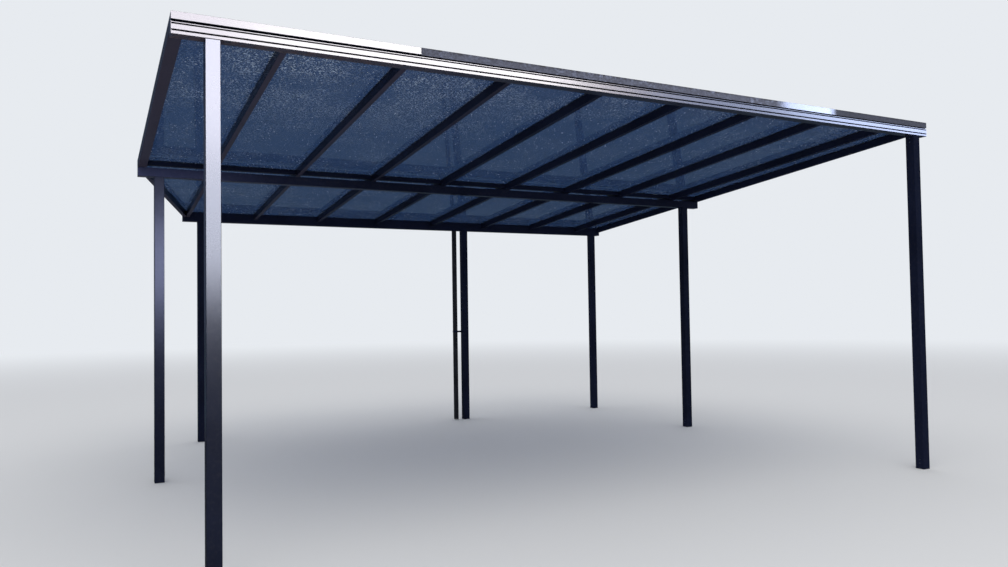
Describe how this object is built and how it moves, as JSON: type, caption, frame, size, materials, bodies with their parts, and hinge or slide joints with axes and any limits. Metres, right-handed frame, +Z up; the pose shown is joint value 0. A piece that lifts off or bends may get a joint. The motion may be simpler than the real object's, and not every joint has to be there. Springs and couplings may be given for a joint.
{
  "type": "open carport",
  "caption": "Open carport on square posts with a high front beam, a middle beam, a rear gutter with downpipe, and a falling roof of tinted sheets on rafters, one rear corner cut off.",
  "frame": {"origin": "on the floor under the middle of the roof's rectangle", "axes": "+X along the beams, from left to right as seen from the high front; +Y from the high front to the low rear; +Z up"},
  "size_m": [7.04, 5.905, 3.4448],
  "materials": {
    "frame_coat": "satin powder coat, dark blue black",
    "tinted_sheet": "clear sheet with a dark blue grey tint, glossy",
    "gasket": "matt black",
    "pipe": "satin dark",
    "foot_steel": "galvanised"
  },
  "bodies": {
    "root": {"post_front_left": "frame_coat", "post_front_right": "frame_coat", "post_middle_left": "frame_coat", "post_middle_right": "frame_coat", "post_rear_left": "frame_coat", "post_rear_middle": "frame_coat", "post_rear_right": "frame_coat", "post_heads": "frame_coat", "front_beam": "frame_coat", "front_beam_ends": "frame_coat", "front_cap_left": "frame_coat", "front_cap_right": "frame_coat", "middle_beam": "frame_coat", "middle_beam_ends": "frame_coat", "rear_gutter": "frame_coat", "gutter_ends": "frame_coat", "gutter_outlet": "frame_coat", "rafter_left_end": "frame_coat", "rafter_right_end": "frame_coat", "rafter_cut_corner": "frame_coat", "rafter_1": "frame_coat", "rafter_2": "frame_coat", "rafter_3": "frame_coat", "rafter_4": "frame_coat", "rafter_5": "frame_coat", "rafter_6": "frame_coat", "rafter_7": "frame_coat", "rafter_8": "frame_coat", "joint_bars": "frame_coat", "joint_caps": "frame_coat", "rafter_caps": "frame_coat", "sheets_bay_1": "tinted_sheet", "sheets_bay_2": "tinted_sheet", "sheets_bay_3": "tinted_sheet", "sheets_bay_4": "tinted_sheet", "sheets_bay_5": "tinted_sheet", "sheets_bay_6": "tinted_sheet", "sheets_bay_7": "tinted_sheet", "sheets_bay_8": "tinted_sheet", "sheets_bay_9": "tinted_sheet", "lower_gaskets": "gasket", "upper_gaskets": "gasket", "downpipe": "pipe", "downpipe_bracket": "pipe", "post_feet": "foot_steel"}
  },
  "joints": []
}
